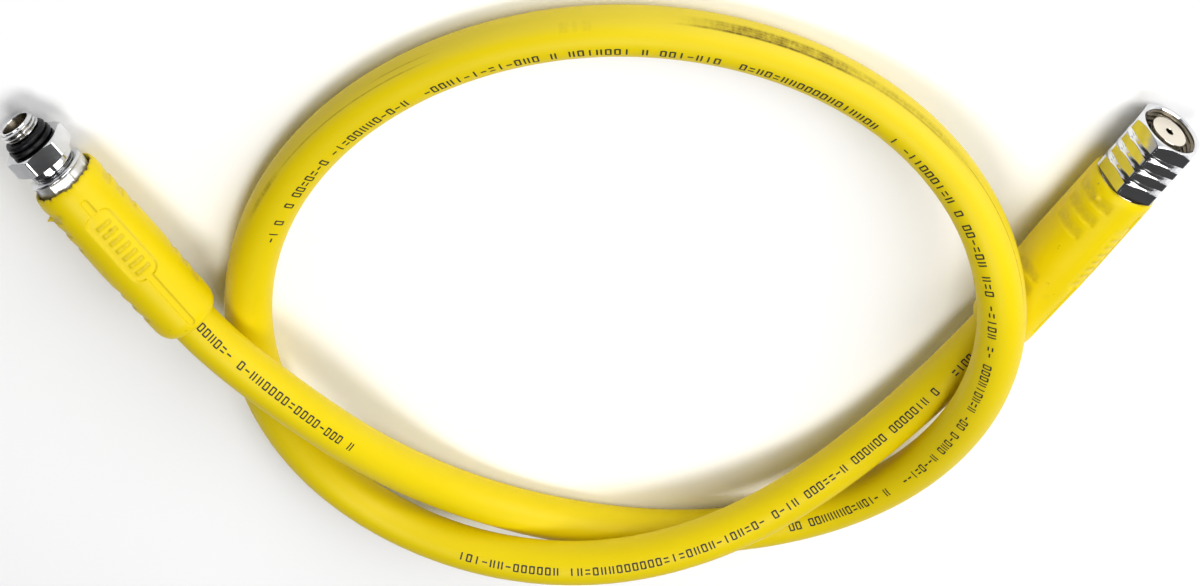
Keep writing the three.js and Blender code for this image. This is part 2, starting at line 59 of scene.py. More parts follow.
# %% [markdown]
# ## The camera
#
# The photograph looks down on the hose from its open side, with a long lens. A camera is a
# position and three axes, so the rotation is written as a matrix: the picture's right is +X, its
# top leans away from the lens, and the third axis points back at the lens. Angles in a matrix
# can't flip, as Euler angles do when the picture is turned upside down.

# %% Units and a helper
MM = 0.001


def add_object(name, data):
    """Puts data into the scene as an object."""
    piece = bpy.data.objects.new(name, data)
    bpy.context.collection.objects.link(piece)
    return piece


# %% Camera
ELEVATION = math.radians(45.5)
CAMERA_DISTANCE = 715 * MM
LENS_MM = 84.6
AIM = Vector((-0.2 * MM, -2.5 * MM, 0.0))

backward = Vector((0.0, math.cos(ELEVATION), math.sin(ELEVATION)))
picture_up = Vector((0.0, math.sin(ELEVATION), -math.cos(ELEVATION)))
picture_right = Vector((1.0, 0.0, 0.0))
place = AIM + CAMERA_DISTANCE * backward

camera_data = bpy.data.cameras.new("camera")
camera_data.lens = LENS_MM
camera_data.sensor_width = 36.0
camera_data.clip_start = 0.01
camera = add_object("camera", camera_data)
rotation = Matrix((picture_right, picture_up, backward)).transposed().to_4x4()
camera.matrix_world = Matrix.Translation(place) @ rotation
bpy.context.scene.camera = camera
print("camera at", tuple(round(x, 3) for x in place))

# %% [markdown]
# ## Where the hose lies
#
# The hose is one smooth curve from crimp to crimp. Its route is a short list of control points
# for a clamped cubic curve, which Blender's NURBS splines draw too. The first and last five are
# in line, because a hose leaves its crimp straight.

# %% Route of the hose
HOSE_RADIUS = 6.0 * MM
ROUTE = [
    (-0.1295, 0.0474, 0.0095), (-0.1215, 0.0352, 0.0115), (-0.1128, 0.0219, 0.0136),
    (-0.1047, 0.0094, 0.0155), (-0.0965, -0.0030, 0.0175), (-0.0789, -0.0212, 0.0202),
    (-0.0618, -0.0449, 0.0155), (-0.0442, -0.0660, 0.0086), (-0.0222, -0.0802, 0.0060),
    (0.0047, -0.0875, 0.0061), (0.0335, -0.0887, 0.0060), (0.0595, -0.0809, 0.0064),
    (0.0785, -0.0624, 0.0113), (0.0908, -0.0377, 0.0182), (0.0975, -0.0106, 0.0243),
    (0.0987, 0.0169, 0.0255), (0.0915, 0.0420, 0.0187), (0.0742, 0.0620, 0.0099),
    (0.0508, 0.0771, 0.0060), (0.0249, 0.0869, 0.0060), (-0.0025, 0.0891, 0.0061),
    (-0.0294, 0.0828, 0.0061), (-0.0534, 0.0688, 0.0061), (-0.0723, 0.0485, 0.0061),
    (-0.0846, 0.0240, 0.0060), (-0.0901, -0.0029, 0.0061), (-0.0882, -0.0310, 0.0060),
    (-0.0785, -0.0578, 0.0060), (-0.0607, -0.0773, 0.0088), (-0.0352, -0.0855, 0.0161),
    (-0.0069, -0.0870, 0.0197), (0.0200, -0.0814, 0.0193), (0.0445, -0.0703, 0.0153),
    (0.0661, -0.0540, 0.0098), (0.0838, -0.0306, 0.0089), (0.0977, -0.0082, 0.0093),
    (0.1047, 0.0050, 0.0093), (0.1118, 0.0182, 0.0093), (0.1193, 0.0324, 0.0093),
    (0.1250, 0.0430, 0.0093),
]


def cubic_weights(count, samples):
    """How much each control point counts at each sample of a clamped, uniform cubic curve."""
    degree = 3
    spans = count - degree
    knots = np.clip(np.arange(count + degree + 1) - degree, 0, spans).astype(float)
    where = np.linspace(0.0, spans, samples)
    weights = ((knots[:-1] <= where[:, None]) & (where[:, None] < knots[1:])).astype(float)
    weights[-1] = 0.0
    weights[-1, np.nonzero(knots < spans)[0][-1]] = 1.0
    for order in range(1, degree + 1):
        columns = []
        for i in range(len(knots) - order - 1):
            rise = knots[i + order] - knots[i]
            fall = knots[i + order + 1] - knots[i + 1]
            column = np.zeros(samples)
            if rise > 0:
                column += (where - knots[i]) / rise * weights[:, i]
            if fall > 0:
                column += (knots[i + order + 1] - where) / fall * weights[:, i + 1]
            columns.append(column)
        weights = np.stack(columns, axis=1)
    return weights


PATH_SAMPLES = 1951
route_line = cubic_weights(len(ROUTE), PATH_SAMPLES) @ np.array(ROUTE)
steps = np.linalg.norm(np.diff(route_line, axis=0), axis=1)
stations = np.concatenate([[0.0], np.cumsum(steps)])

# %% [markdown]
# ## Frames along the hose
#
# A printed line runs along the hose, and scuffs sit on known sides of it. So every piece on the
# hose needs two numbers: how far along it is, and how far round from the print. The print's own
# place round the hose was read off at a few stations, as degrees from straight up, and is
# blended between them.

# %% Directions along the hose
PRINT_STATIONS = np.array([0, 50, 100, 180, 260, 350, 400, 450, 500, 600, 680, 750, 830, 890, 970]) * MM
PRINT_ROLLS = np.radians([38, 38, 30, 29, 29, 30.5, 22, 17.5, 16, 18, 22, 25.5, 26, 22.5, 22])


def unit(vectors):
    return vectors / np.linalg.norm(vectors, axis=-1, keepdims=True)


def frames_at(where):
    """Centre of the hose at each station, and the ways to the print, sideways and along."""
    centre = np.stack([np.interp(where, stations, route_line[:, k]) for k in range(3)], axis=-1)
    slope = np.gradient(route_line, stations, axis=0)
    along = unit(np.stack([np.interp(where, stations, slope[:, k]) for k in range(3)], axis=-1))
    up = unit(np.array([0.0, 0.0, 1.0]) - along * along[:, 2:3])
    side = np.cross(up, along)
    roll = np.interp(where, PRINT_STATIONS, PRINT_ROLLS)[:, None]
    outward = np.cos(roll) * up + np.sin(roll) * side
    return centre, outward, np.cross(outward, along), along


# %% [markdown]
# ## Meshes from rings of points
#
# Sleeves, nut, seals and fittings are round things whose radius changes along their length, and
# sometimes round it as well. One helper builds them all: it takes rings of points, each with the
# same number of points, and joins neighbours with quads. The last ring joins the first, so the
# result is a closed wall with an inside and an outside.

# %% Helper: a mesh from rings


def ring_mesh(name, points, sharp_degrees=35.0):
    """points has the shape rings, points in a ring, 3. Rings run forward on the outside."""
    rings, sides = points.shape[:2]
    index = np.arange(rings * sides).reshape(rings, sides)
    ahead = np.roll(index, -1, axis=0)
    corners = [index, np.roll(index, -1, axis=1), np.roll(ahead, -1, axis=1), ahead]
    faces = np.stack(corners, axis=-1).reshape(-1, 4)
    mesh = bpy.data.meshes.new(name)
    mesh.from_pydata(points.reshape(-1, 3).tolist(), [], faces.tolist())
    mesh.polygons.foreach_set("use_smooth", np.ones(len(mesh.polygons), bool))
    mesh.set_sharp_from_angle(angle=math.radians(sharp_degrees))
    mesh.update()
    return add_object(name, mesh)


def store(piece, name, values):
    """Keeps one number for each point of a piece, for its material to read."""
    layer = piece.data.attributes.new(name, "FLOAT", "POINT")
    layer.data.foreach_set("value", np.asarray(values, np.float32).ravel())


# %% [markdown]
# ## The two ends
#
# Each end has a frame of its own: Z runs from the mouth into the hose, Y is as near up as it can
# be. A piece is modelled in millimetres along that axis, as radius against station, and then
# placed. The hose begins 16.3 mm behind the push-in fitting's mouth and 19.9 mm behind the
# nut's.

# %% Frames of the two ends
SIDES = 192
FIRST_HOSE_START = 16.3
SECOND_HOSE_START = 19.9


def end_frame(hose_end, into_hose, hose_start):
    along = unit(np.array(into_hose))
    up = unit(np.array([0.0, 0.0, 1.0]) - along * along[2])
    across = np.cross(up, along)
    mouth = np.array(hose_end) - along * hose_start * MM
    return mouth, across, up, along


FIRST_END = end_frame(ROUTE[0], np.subtract(ROUTE[4], ROUTE[0]), FIRST_HOSE_START)
SECOND_END = end_frame(ROUTE[-1], np.subtract(ROUTE[-5], ROUTE[-1]), SECOND_HOSE_START)
TURN = np.arange(SIDES) * 2 * math.pi / SIDES


def place_rings(end, radius, station, turn=TURN):
    """Points in metres from radius and station in millimetres, a row of them for each ring."""
    mouth, across, up, along = end
    radius, station = np.broadcast_arrays(radius, station)
    x = (radius * np.cos(turn))[..., None] * across
    y = (radius * np.sin(turn))[..., None] * up
    return mouth + MM * (x + y + station[..., None] * along)


def eased(profile, size):
    """Rounds every corner of a closed profile of (radius, station) pairs with a short curve."""
    corners = np.array(profile, float)
    before = np.roll(corners, 1, axis=0)
    after = np.roll(corners, -1, axis=0)
    points = []
    for corner, back, ahead in zip(corners, before, after):
        reach_in = min(size, 0.45 * np.linalg.norm(back - corner))
        reach_out = min(size, 0.45 * np.linalg.norm(ahead - corner))
        start = corner + reach_in * unit(back - corner)
        end = corner + reach_out * unit(ahead - corner)
        for t in np.linspace(0.0, 1.0, 4):
            points.append((1 - t) ** 2 * start + 2 * t * (1 - t) * corner + t * t * end)
    return np.array(points)


def refined(profile, spacing):
    """Adds points to a closed profile, so that none are further apart than spacing."""
    points = []
    for point, ahead in zip(profile, np.roll(profile, -1, axis=0)):
        count = max(1, int(np.ceil(np.linalg.norm(ahead - point) / spacing)))
        points.extend(point + (ahead - point) * i / count for i in range(count))
    return np.array(points)


def outline_of(profile, size, spacing):
    """Radius and station of a profile's points, with eased corners and no long gaps."""
    points = refined(eased(profile, size), spacing)
    return points[:, :1], points[:, 1:]


def turned_piece(name, end, profile, size):
    rounded = eased(profile, size)
    return ring_mesh(name, place_rings(end, rounded[:, :1], rounded[:, 1:]))


print("first mouth", FIRST_END[0].round(4), "second mouth", SECOND_END[0].round(4))

# %% [markdown]
# ## The hose
#
# A hose could be a curve with a bevel, but its material has to know how far along and how far
# round it is, for the scuffs and the braid that shows through the rubber. A Geometry Nodes tree
# sweeps a circle along the route and keeps the station as an attribute. The angle from the print
# then follows from the frames above. It is kept as a cosine and a sine, because an angle itself
# jumps from 180 to -180 degrees, and blending across that jump would draw a line on the hose.

# %% Route as a curve object
route_data = bpy.data.curves.new("route", "CURVE")
route_data.dimensions = "3D"
spline = route_data.splines.new("POLY")
spline.points.add(len(route_line) - 1)
spline.points.foreach_set("co", np.column_stack([route_line, np.ones(len(route_line))]).ravel())
route = add_object("route", route_data)
print("route:", len(spline.points), "points")

# %% Helper: node trees


class Nodes:
    """A small wrapper that makes a node tree read from top to bottom."""

    def __init__(self, tree):
        self.tree = tree

    def link(self, source, socket):
        """Feeds a socket from another node's socket, or with a plain value."""
        if isinstance(source, bpy.types.NodeSocket):
            self.tree.links.new(source, socket)
        else:
            socket.default_value = source

    def add(self, node_type, links=None, **settings):
        """links are given by socket name or number."""
        node = self.tree.nodes.new(node_type)
        for key, setting in settings.items():
            setattr(node, key, setting)
        for key, source in (links or {}).items():
            self.link(source, node.inputs[key])
        return node

    def math(self, operation, *values):
        return self.add("ShaderNodeMath", dict(enumerate(values)), operation=operation).outputs[0]

    def times(self, first, second):
        return self.math("MULTIPLY", first, second)

    def plus(self, first, second):
        return self.math("ADD", first, second)


class Tree(Nodes):
    """A Geometry Nodes tree, with one geometry going in and one coming out."""

    def __init__(self, name):
        super().__init__(bpy.data.node_groups.new(name, "GeometryNodeTree"))
        for way in ("INPUT", "OUTPUT"):
            self.tree.interface.new_socket("Geometry", in_out=way, socket_type="NodeSocketGeometry")
        self.inputs = self.tree.nodes.new("NodeGroupInput")
        self.outputs = self.tree.nodes.new("NodeGroupOutput")

    def value(self, name, kind, default):
        socket = self.tree.interface.new_socket(name, in_out="INPUT", socket_type=f"NodeSocket{kind}")
        socket.default_value = default
        return self.inputs.outputs[name]

    def finish(self, geometry):
        self.link(geometry, self.outputs.inputs[0])
        return self.tree


def apply_tree(piece, tree, name):
    """Runs a tree on a piece, and puts the result in its place as a plain mesh object."""
    piece.modifiers.new("nodes", "NODES").node_group = tree
    evaluated = piece.evaluated_get(bpy.context.evaluated_depsgraph_get())
    mesh = bpy.data.meshes.new_from_object(evaluated)
    mesh.name = name
    bpy.data.objects.remove(piece)
    return add_object(name, mesh)


# %% Hose tube
HOSE_SIDES = 56
HOSE_RINGS = 900


def hose_tree(material):
    nodes = Tree("hose_tube")
    radius = nodes.value("Radius", "Float", HOSE_RADIUS)
    sides = nodes.value("Sides", "Int", HOSE_SIDES)
    rings = nodes.value("Rings", "Int", HOSE_RINGS)
    even = nodes.add("GeometryNodeResampleCurve", {"Curve": nodes.inputs.outputs[0], "Count": rings})
    station = nodes.add("GeometryNodeSplineParameter").outputs["Length"]
    kept = nodes.add(
        "GeometryNodeStoreNamedAttribute",
        {"Geometry": even.outputs[0], "Name": "station", "Value": station},
        data_type="FLOAT", domain="POINT",
    )
    upright = nodes.add("GeometryNodeSetCurveNormal", {"Curve": kept.outputs[0]}, mode="Z_UP")
    circle = nodes.add("GeometryNodeCurvePrimitiveCircle", {"Resolution": sides, "Radius": radius})
    tube = nodes.add(
        "GeometryNodeCurveToMesh",
        {"Curve": upright.outputs[0], "Profile Curve": circle.outputs["Curve"], "Fill Caps": True},
    )
    smooth = nodes.add("GeometryNodeSetShadeSmooth", {"Geometry": tube.outputs[0]})
    finish = nodes.add("GeometryNodeSetMaterial", {"Geometry": smooth.outputs[0], "Material": material})
    return nodes.finish(finish.outputs[0])


hose_material = bpy.data.materials.new("yellow_hose_rubber")
hose = apply_tree(route, hose_tree(hose_material), "hose_tube")
points = np.zeros(len(hose.data.vertices) * 3, np.float32)
hose.data.vertices.foreach_get("co", points)
points = points.reshape(-1, 3)
where = np.zeros(len(points), np.float32)
hose.data.attributes["station"].data.foreach_get("value", where)
centre, outward, sideways, _ = frames_at(where.astype(float))
offset = points - centre
around = np.arctan2((offset * sideways).sum(1), (offset * outward).sum(1))
store(hose, "cos_around", np.cos(around))
store(hose, "sin_around", np.sin(around))
print("hose:", len(hose.data.polygons), "faces")

# %% [markdown]
# ## The printed line
#
# A hose of this kind is printed along its length. The words stay off this one, and plain marks
# take their place: bars, boxes and dashes of the print's height, spacing and ink. They repeat
# along a path, which is what Geometry Nodes instancing is for. Each mark is a few thin strokes,
# bent to the hose's curvature before it is instanced, so that it lies on the rubber as ink does.

# %% Places of the marks
MARK_PITCH = 2.14 * MM
MARK_HEIGHT = 2.25 * MM
MARK_WIDTH = 1.35 * MM
STROKE = 0.42 * MM
INK_LIFT = 0.02 * MM
BLANK_SHARE = 0.16
PRINT_RUNS = [(50.5 * MM, 106.5 * MM), (244 * MM, 605 * MM), (742 * MM, 930 * MM)]

mark_stations = np.concatenate([np.arange(first, last, MARK_PITCH) for first, last in PRINT_RUNS])
centre, outward, _, along = frames_at(mark_stations)
spots = bpy.data.meshes.new("mark_spots")
spots.from_pydata((centre + HOSE_RADIUS * outward).tolist(), [], [])
for name, vectors in (("outward", outward), ("along", along)):
    layer = spots.attributes.new(name, "FLOAT_VECTOR", "POINT")
    layer.data.foreach_set("vector", vectors.astype(np.float32).ravel())
mark_spots = add_object("mark_spots", spots)
print(len(mark_stations), "places for marks")

# %% Marks from strokes
BAR = [(0.0, 0.0, 0.0, 1.0)]
DOUBLE_BAR = [(-0.35, 0.0, 0.0, 1.0), (0.35, 0.0, 0.0, 1.0)]
DASH = [(0.0, 0.0, 1.0, 0.0)]
DOUBLE_DASH = [(0.0, -0.25, 1.0, 0.0), (0.0, 0.25, 1.0, 0.0)]
BOX = [(-0.42, 0.0, 0.0, 1.0), (0.42, 0.0, 0.0, 1.0), (0.0, -0.44, 0.7, 0.0), (0.0, 0.44, 0.7, 0.0)]
SYMBOLS = [BAR, DOUBLE_BAR, BOX, DOUBLE_DASH, BOX, BOX, DOUBLE_BAR, BOX, DASH]


def symbol(nodes, strokes, radius, width, height, stroke, lift):
    """Strokes are (x, y, length, height) as shares of the mark's width and height."""
    joined = nodes.add("GeometryNodeJoinGeometry")
    for x, y, long, tall in strokes:
        size_x = nodes.math("MAXIMUM", nodes.times(width, long), stroke)
        size_y = nodes.math("MAXIMUM", nodes.times(height, tall), stroke)
        grid = nodes.add(
            "GeometryNodeMeshGrid",
            {"Size X": size_x, "Size Y": size_y, "Vertices X": 2, "Vertices Y": 6},
        )
        shift = nodes.add(
            "ShaderNodeCombineXYZ",
            {"X": nodes.times(width, x), "Y": nodes.times(height, y)},
        )
        moved = nodes.add(
            "GeometryNodeTransform", {"Geometry": grid.outputs["Mesh"], "Translation": shift.outputs[0]}
        )
        nodes.link(moved.outputs[0], joined.inputs[0])
    position = nodes.add("ShaderNodeSeparateXYZ", {0: nodes.add("GeometryNodeInputPosition").outputs[0]})
    bend = nodes.math("DIVIDE", position.outputs["Y"], radius)
    outer = nodes.plus(radius, lift)
    wrapped = nodes.add(
        "ShaderNodeCombineXYZ",
        {
            "X": position.outputs["X"],
            "Y": nodes.times(outer, nodes.math("SINE", bend)),
            "Z": nodes.math("SUBTRACT", nodes.times(outer, nodes.math("COSINE", bend)), radius),
        },
    )
    placed = nodes.add(
        "GeometryNodeSetPosition", {"Geometry": joined.outputs[0], "Position": wrapped.outputs[0]}
    )
    return nodes.add("GeometryNodeGeometryToInstance", {0: placed.outputs[0]}).outputs[0]


def print_tree(material):
    nodes = Tree("printed_marks")
    radius = nodes.value("Radius", "Float", HOSE_RADIUS)
    width = nodes.value("Mark width", "Float", MARK_WIDTH)
    height = nodes.value("Mark height", "Float", MARK_HEIGHT)
    stroke = nodes.value("Stroke", "Float", STROKE)
    lift = nodes.value("Lift", "Float", INK_LIFT)
    blank = nodes.value("Blank share", "Float", BLANK_SHARE)
    seed = nodes.value("Seed", "Int", 4)
    kinds = nodes.add("GeometryNodeJoinGeometry")
    for strokes in SYMBOLS:
        made = symbol(nodes, strokes, radius, width, height, stroke, lift)
        nodes.link(made, kinds.inputs[0])
    choice = {"Seed": seed, "Min": 0, "Max": len(SYMBOLS) - 1}
    number = nodes.add("FunctionNodeRandomValue", choice, data_type="INT").outputs["Value"]
    other_seed = {"Seed": nodes.plus(seed, 7)}
    chance = nodes.add("FunctionNodeRandomValue", other_seed, data_type="FLOAT").outputs["Value"]
    keep = nodes.add("FunctionNodeCompare", {0: chance, 1: blank}, operation="GREATER_THAN")
    out = nodes.add("GeometryNodeInputNamedAttribute", {"Name": "outward"}, data_type="FLOAT_VECTOR")
    ahead = nodes.add("GeometryNodeInputNamedAttribute", {"Name": "along"}, data_type="FLOAT_VECTOR")
    turn = nodes.add(
        "FunctionNodeAxesToRotation",
        {"Primary Axis": out.outputs[0], "Secondary Axis": ahead.outputs[0]},
        primary_axis="Z", secondary_axis="X",
    )
    marks = nodes.add(
        "GeometryNodeInstanceOnPoints",
        {
            "Points": nodes.inputs.outputs[0],
            "Selection": keep.outputs[0],
            "Instance": kinds.outputs[0],
            "Pick Instance": True,
            "Instance Index": number,
            "Rotation": turn.outputs[0],
        },
    )
    realized = nodes.add("GeometryNodeRealizeInstances", {"Geometry": marks.outputs[0]})
    inked = nodes.add("GeometryNodeSetMaterial", {"Geometry": realized.outputs[0], "Material": material})
    return nodes.finish(inked.outputs[0])


ink_material = bpy.data.materials.new("black_ink")
marks = apply_tree(mark_spots, print_tree(ink_material), "hose_marks")
print("marks:", len(marks.data.polygons), "faces")

# %% [markdown]
# ## The push-in fitting
#
# The fitting is turned from one bar: thread, seal groove, hexagon, collar and waist. Round
# stretches are a profile with small eased corners, because a sharp corner catches no light. The
# hexagon and the thread change round the axis too, so the radius is worked out at each point:
# the thread is a helix, and the hexagon is the nearest of six flats, blended softly at corners.

# %% Radius rules


def soft_minimum(first, second, softness=0.05):
    """The smaller of two numbers, with a rounded change from one to the other."""
    half = np.clip(0.5 + 0.5 * (second - first) / softness, 0.0, 1.0)
    return second + (first - second) * half - softness * half * (1.0 - half)


def hex_radius(across_flats, first_corner):
    """Distance from the axis to a hexagon at each angle, with its corners slightly rounded."""
    sixth = math.pi / 3
    turned = (TURN - first_corner) % sixth
    near = across_flats / 2 / np.cos(turned - sixth / 2)
    return soft_minimum(near, across_flats / math.sqrt(3) - 0.08, 0.12)


def thread_height(station, pitch, first, last):
    """0 at the thread's root, 1 at its crest, running out at both ends."""
    phase = (station / pitch - TURN / (2 * math.pi)) % 1.0
    wave = np.sin(math.pi * phase) ** 2
    fade = np.clip((station - first) / 0.3, 0.0, 1.0) * np.clip((last - station) / 0.3, 0.0, 1.0)
    return wave * fade


# %% Push-in fitting
chrome_material = bpy.data.materials.new("bright_chrome")
THREAD_CREST = 4.76
THREAD_ROOT = 4.18
THREAD_PITCH = 1.058
THREAD_END = 2.9
HEX_FLATS = 14.3
HEX_FROM, HEX_TO = 6.6, 11.6

fitting_profile = [
    (4.15, 0.0), (THREAD_CREST, 0.6), (THREAD_CREST, THREAD_END), (3.45, THREAD_END),
    (3.45, HEX_FROM), (7.35, HEX_FROM), (8.3, 7.15), (8.3, 11.05), (7.35, HEX_TO), (6.4, HEX_TO),
    (6.4, 13.2), (5.2, 13.2), (5.2, 14.1), (4.6, 14.1), (4.6, 17.0), (1.6, 17.0), (1.6, 11.9),
    (2.5, 11.0), (2.5, 6.0), (3.1, 2.2), (3.65, 0.0),
]
radius, station = outline_of(fitting_profile, 0.12, 0.11)
is_outside = (radius > 3.9) & (station < THREAD_END + 0.05)
ridge = thread_height(station, THREAD_PITCH, 0.2, THREAD_END)
thread = THREAD_ROOT + (THREAD_CREST - THREAD_ROOT) * ridge
threaded = np.where(is_outside, np.minimum(radius, thread), radius)
in_hex = (station >= HEX_FROM) & (station <= HEX_TO) & (radius > 6.6)
faceted = soft_minimum(radius, hex_radius(HEX_FLATS, math.pi / 2))
shaped = np.where(in_hex, faceted, threaded)
fitting = ring_mesh("push_in_fitting", place_rings(FIRST_END, shaped, station))
# Painted shade: the thread's roots are darkened, and so is the bore, which is partly thin plating.
shaded_root = is_outside & (shaped < THREAD_ROOT + 0.2) & (station > 0.5)
in_bore = (shaped < 3.6) & (station < 11.0) & (station > 0.25)
store(fitting, "bare_and_shade", np.where(shaded_root, 0.9, in_bore))
print("fitting:", len(fitting.data.polygons), "faces")

# %% [markdown]
# ## Seals and ferrules
#
# An O-ring is a circle turned about the axis. The back ring beside it has a square section. The
# ferrule is a thimble that a press squeezed onto the hose from eight sides, which leaves a
# narrow ridge between each two jaws. The ridges follow a rule round the axis, so they are part
# of the radius. The jaws also dulled the skin, and an attribute tells the material where.

# %% Seals
seal_material = bpy.data.materials.new("black_seal_rubber")


def o_ring(name, end, inner_radius, section_radius, station):
    turn = np.linspace(0, 2 * math.pi, 25)[:-1, None]
    radius = inner_radius + section_radius * (1 + np.cos(turn))
    return ring_mesh(name, place_rings(end, radius, station + section_radius * np.sin(turn)))


fitting_o_ring = o_ring("fitting_seal", FIRST_END, 3.75, 0.9, 4.1)
back_ring = turned_piece(
    "back_ring", FIRST_END, [(3.75, 5.12), (5.85, 5.12), (5.85, 6.35), (3.75, 6.35)], 0.3
)
stem_o_ring = o_ring("stem_seal", SECOND_END, 3.2, 0.9, 3.4)

# %% Ferrules
CRIMP_JAWS = 8
CRIMP_DEPTH = 0.3
CRIMP_START = 0.95
RIDGE_HALF_WIDTH = 0.32
FERRULE_RADIUS = 7.25
FERRULE_LENGTH = 19.0


def ferrule(name, end, start):
    tail, skin = start + FERRULE_LENGTH, FERRULE_RADIUS
    profile = [
        (4.9, start), (6.1, start), (6.95, start + 0.3), (7.22, start + 0.7), (skin, start + 1.0),
        (skin, tail), (6.3, tail), (6.3, start + 1.6), (4.9, start + 1.6),
    ]
    radius, station = outline_of(profile, 0.2, 0.35)
    pitch = 2 * math.pi / CRIMP_JAWS
    off_ridge = (TURN - math.pi / 2 + pitch / 2) % pitch - pitch / 2
    ridge = np.exp(-((off_ridge * 7.0 / RIDGE_HALF_WIDTH) ** 2))
    pressed = np.clip((station - start - CRIMP_START) / 0.35, 0.0, 1.0)
    squeezed = skin - CRIMP_DEPTH * (1.0 - ridge) * pressed
    crimped = soft_minimum(radius, squeezed, 0.06)
    on_skin = (radius > 6.6) & (station > start + CRIMP_START)
    piece = ring_mesh(name, place_rings(end, np.where(on_skin, crimped, radius), station))
    store(piece, "brushed", on_skin + 0.0 * TURN)
    return piece


first_ferrule = ferrule("first_crimp_ferrule", FIRST_END, 14.4)
second_ferrule = ferrule("second_crimp_ferrule", SECOND_END, 18.0)
print("seals and ferrules made")

# %% [markdown]
# ## The union nut and its stem
#
# The nut is a hexagon with three grooves turned round it, which cut a little below the flats and
# so leave a row of crescents. Its mouth is chamfered and threaded inside. The stem's nose
# shows in the mouth, with the small hole that the gas comes through.

# %% Union nut
NUT_FLATS = 16.0
NUT_LENGTH = 17.6
NUT_CORNER = 9.3
GROOVES = [(3.5, 5.6), (7.6, 9.7), (11.75, 13.85)]
GROOVE_EDGE = 8.35
GROOVE_FLOOR = 7.72
NUT_PITCH = 1.411
NUT_THREAD_CREST = 6.45
NUT_THREAD_ROOT = 7.1

nut_profile = [(8.05, 0.0), (NUT_CORNER, 0.95)]
for first, last in GROOVES:
    nut_profile += [(NUT_CORNER, first), (GROOVE_EDGE, first + 0.12), (GROOVE_FLOOR, first + 0.62)]
    nut_profile += [(GROOVE_FLOOR, last - 0.62), (GROOVE_EDGE, last - 0.12), (NUT_CORNER, last)]
nut_profile += [
    (NUT_CORNER, NUT_LENGTH - 0.7), (8.3, NUT_LENGTH), (5.3, NUT_LENGTH), (5.3, 12.6),
    (NUT_THREAD_CREST, 12.6), (NUT_THREAD_CREST, 0.9), (7.4, 0.0),
]
radius, station = outline_of(nut_profile, 0.12, 0.14)
flats = soft_minimum(radius, hex_radius(NUT_FLATS, 0.0), 0.06)
cut = (NUT_THREAD_ROOT - NUT_THREAD_CREST) * thread_height(station, NUT_PITCH, 0.5, 10.0)
in_bore = (radius < 7.0) & (radius > 6.3) & (station < 12.0)
shaped = np.where(radius > 7.5, flats, np.where(in_bore, radius + cut, radius))
nut = ring_mesh("union_nut", place_rings(SECOND_END, shaped, station))
# Painted shade: the inside of the nut and its back chamfer beside the sleeve are darkened.
inside_nut = (shaped < 7.3) & (station > 0.4) & (station < 13.0)
store(nut, "bare_and_shade", inside_nut | (station > 17.0))

# %% Stem
stem = turned_piece(
    "stem", SECOND_END,
    [
        (4.65, 0.55), (4.65, 2.2), (2.9, 2.2), (2.9, 4.6), (4.65, 4.6), (4.65, 9.9), (6.15, 9.9),
        (6.15, 12.3), (5.0, 12.3), (5.0, 17.7), (4.6, 17.7), (4.6, 20.0), (1.6, 20.0), (1.6, 2.1),
        (1.0, 2.1), (1.0, 0.55),
    ],
    0.25,
)
front = np.array([vertex.co for vertex in stem.data.vertices]) - SECOND_END[0]
store(stem, "warm", front @ SECOND_END[3] < 1.0 * MM)
print("nut:", len(nut.data.polygons), "faces")

# %% [markdown]
# ## The sleeves
#
# Each sleeve is soft moulded rubber: a slightly fat tube with a sunk panel on one side, a slot
# before and after it, and finger recesses on both flanks. Seven plain ribs in the panel take the
# place of a raised name. Cutting these with booleans would leave hard edges. Instead the
# recesses are a depth that is worked out at each point from soft steps, and the wall is lowered
# by it, so every edge comes out rounded as it does in a mould. In the photograph the two sleeves
# differ a little in length, so each has its own, and the second one's recesses are spread.

# %% Sleeve surface
SLEEVE_START = 18.0
SLEEVE_SIDES = 256
SLEEVE_RINGS = 230
SKIN_RADIUS = 8.8
MOUTH_RADIUS, MOUTH_ROUNDING = 8.0, 2.2
TAIL_RADIUS, TAIL_ROUNDING = 6.75, 3.8
PANEL_DEPTH = 0.5
PANEL_FROM, PANEL_TO = 9.2, 30.4
PANEL_HALF, PANEL_CORNER = 3.65, 2.4
SLOT_FROM, SLOT_TO, SLOT_HALF = 5.6, 46.8, 0.9
sleeve_material = bpy.data.materials.new("yellow_sleeve_rubber")


def soft_step(value, edge, softness):
    """0 well below the edge, 1 well above it."""
    t = np.clip((value - edge) / softness + 0.5, 0.0, 1.0)
    return t * t * (3.0 - 2.0 * t)


def arch(share):
    """Height of a circle of radius 1 at a distance from its middle, and 0 outside it."""
    return np.sqrt(np.clip(1.0 - share**2, 0.0, 1.0))


def sleeve_radius(s, length):
    """Radius of the sleeve's skin at a distance from its mouth."""
    body = np.interp(s, [0.0, 2.5, 26.0, 47.0, length], [8.6, 8.75, 9.0, 8.55, 8.45])
    mouth = MOUTH_RADIUS + (body - MOUTH_RADIUS) * arch((MOUTH_ROUNDING - s) / MOUTH_ROUNDING)
    body = np.where(s < MOUTH_ROUNDING, mouth, body)
    into_tail = s - (length - TAIL_ROUNDING)
    tail = TAIL_RADIUS + (body - TAIL_RADIUS) * arch(into_tail / TAIL_ROUNDING)
    return np.where(into_tail > 0.0, tail, body)


def panel_half_width(s):
    """Half width of the slot, the panel and the long slot behind it, as one outline."""
    depth_in = np.minimum(s - PANEL_FROM, PANEL_TO - s)
    corner = arch(1.0 - np.clip(depth_in / PANEL_CORNER, 0.0, 1.0))
    panel = np.where(depth_in > 0.0, PANEL_HALF - PANEL_CORNER * (1.0 - corner), SLOT_HALF)
    beyond = np.maximum(SLOT_FROM - s, s - SLOT_TO)
    width = np.where(beyond > 0.0, SLOT_HALF * arch(beyond / SLOT_HALF), panel)
    return np.where(beyond > SLOT_HALF, -1.0, width)


